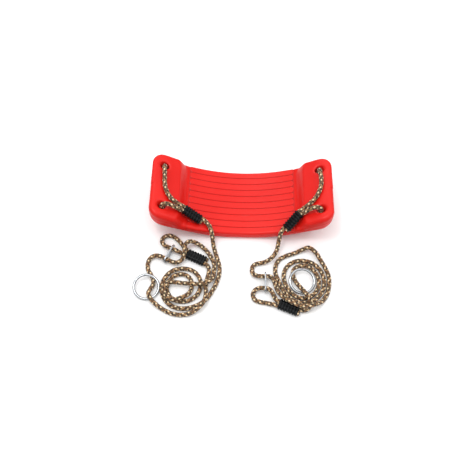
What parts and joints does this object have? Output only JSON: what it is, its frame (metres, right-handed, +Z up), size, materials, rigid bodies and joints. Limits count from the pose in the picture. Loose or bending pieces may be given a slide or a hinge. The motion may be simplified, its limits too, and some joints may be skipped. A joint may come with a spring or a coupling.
{
  "type": "belt swing seat",
  "caption": "Curved moulded swing seat on rope bridles with clamps, length adjusters and hanging rings.",
  "frame": {"origin": "on the floor under the middle of the seat, at the centre of the underside's flat", "axes": "+X along the seat to the end that is right when looked at from the front, -Y is the front where the ropes lie, +Z is up"},
  "size_m": [0.4542, 0.3816, 0.1051],
  "materials": {
    "moulded_plastic": "blow-moulded plastic, satin gloss with a fine moulded grain",
    "rope": "braided rope of brown, olive and cream strands",
    "clamp_plastic": "black moulded plastic, semi-matt",
    "adjuster_steel": "zinc-plated pressed plate",
    "ring_steel": "bright zinc-plated welded wire"
  },
  "bodies": {
    "seat": {"seat_shell": "moulded_plastic", "left_seat_loop": "rope", "right_seat_loop": "rope", "left_run": "rope", "right_run": "rope", "left_rope": "rope", "right_rope": "rope", "left_end_loop": "rope", "right_end_loop": "rope", "left_loop_clamp": "clamp_plastic", "right_loop_clamp": "clamp_plastic"},
    "left_bridle": {"left_front_leg": "rope", "left_rear_leg": "rope", "left_seat_clamp": "clamp_plastic"},
    "right_bridle": {"right_front_leg": "rope", "right_rear_leg": "rope", "right_seat_clamp": "clamp_plastic"},
    "left_adjuster": {"left_adjuster": "adjuster_steel"},
    "right_adjuster": {"right_adjuster": "adjuster_steel"},
    "left_ring": {"left_ring": "ring_steel"},
    "right_ring": {"right_ring": "ring_steel"}
  },
  "joints": [
    {"name": "left_bridle_swing", "type": "hinge", "parent": "seat", "child": "left_bridle", "pos_m": [-0.187, 0, 0.094], "axis": [0, -1, 0], "range_deg": [0, 28], "deforming": ["left_run"]},
    {"name": "right_bridle_swing", "type": "hinge", "parent": "seat", "child": "right_bridle", "pos_m": [0.187, 0, 0.094], "axis": [0, 1, 0], "range_deg": [0, 28], "deforming": ["right_run"]},
    {"name": "left_adjuster_slide", "type": "slide", "parent": "seat", "child": "left_adjuster", "axis": [-0.9063, 0.4226, 0], "range_m": [-0.012, 0.012]},
    {"name": "right_adjuster_slide", "type": "slide", "parent": "seat", "child": "right_adjuster", "axis": [1, 0, 0], "range_m": [-0.009, 0.002]},
    {"name": "left_ring_swing", "type": "hinge", "parent": "seat", "child": "left_ring", "pos_m": [-0.20331, -0.25078, 0.003], "axis": [0.9563, 0.2924, 0], "range_deg": [0, 75]},
    {"name": "right_ring_swing", "type": "hinge", "parent": "seat", "child": "right_ring", "pos_m": [0.14686, -0.22757, 0.003], "axis": [0.9848, 0.1736, 0], "range_deg": [0, 60]}
  ]
}
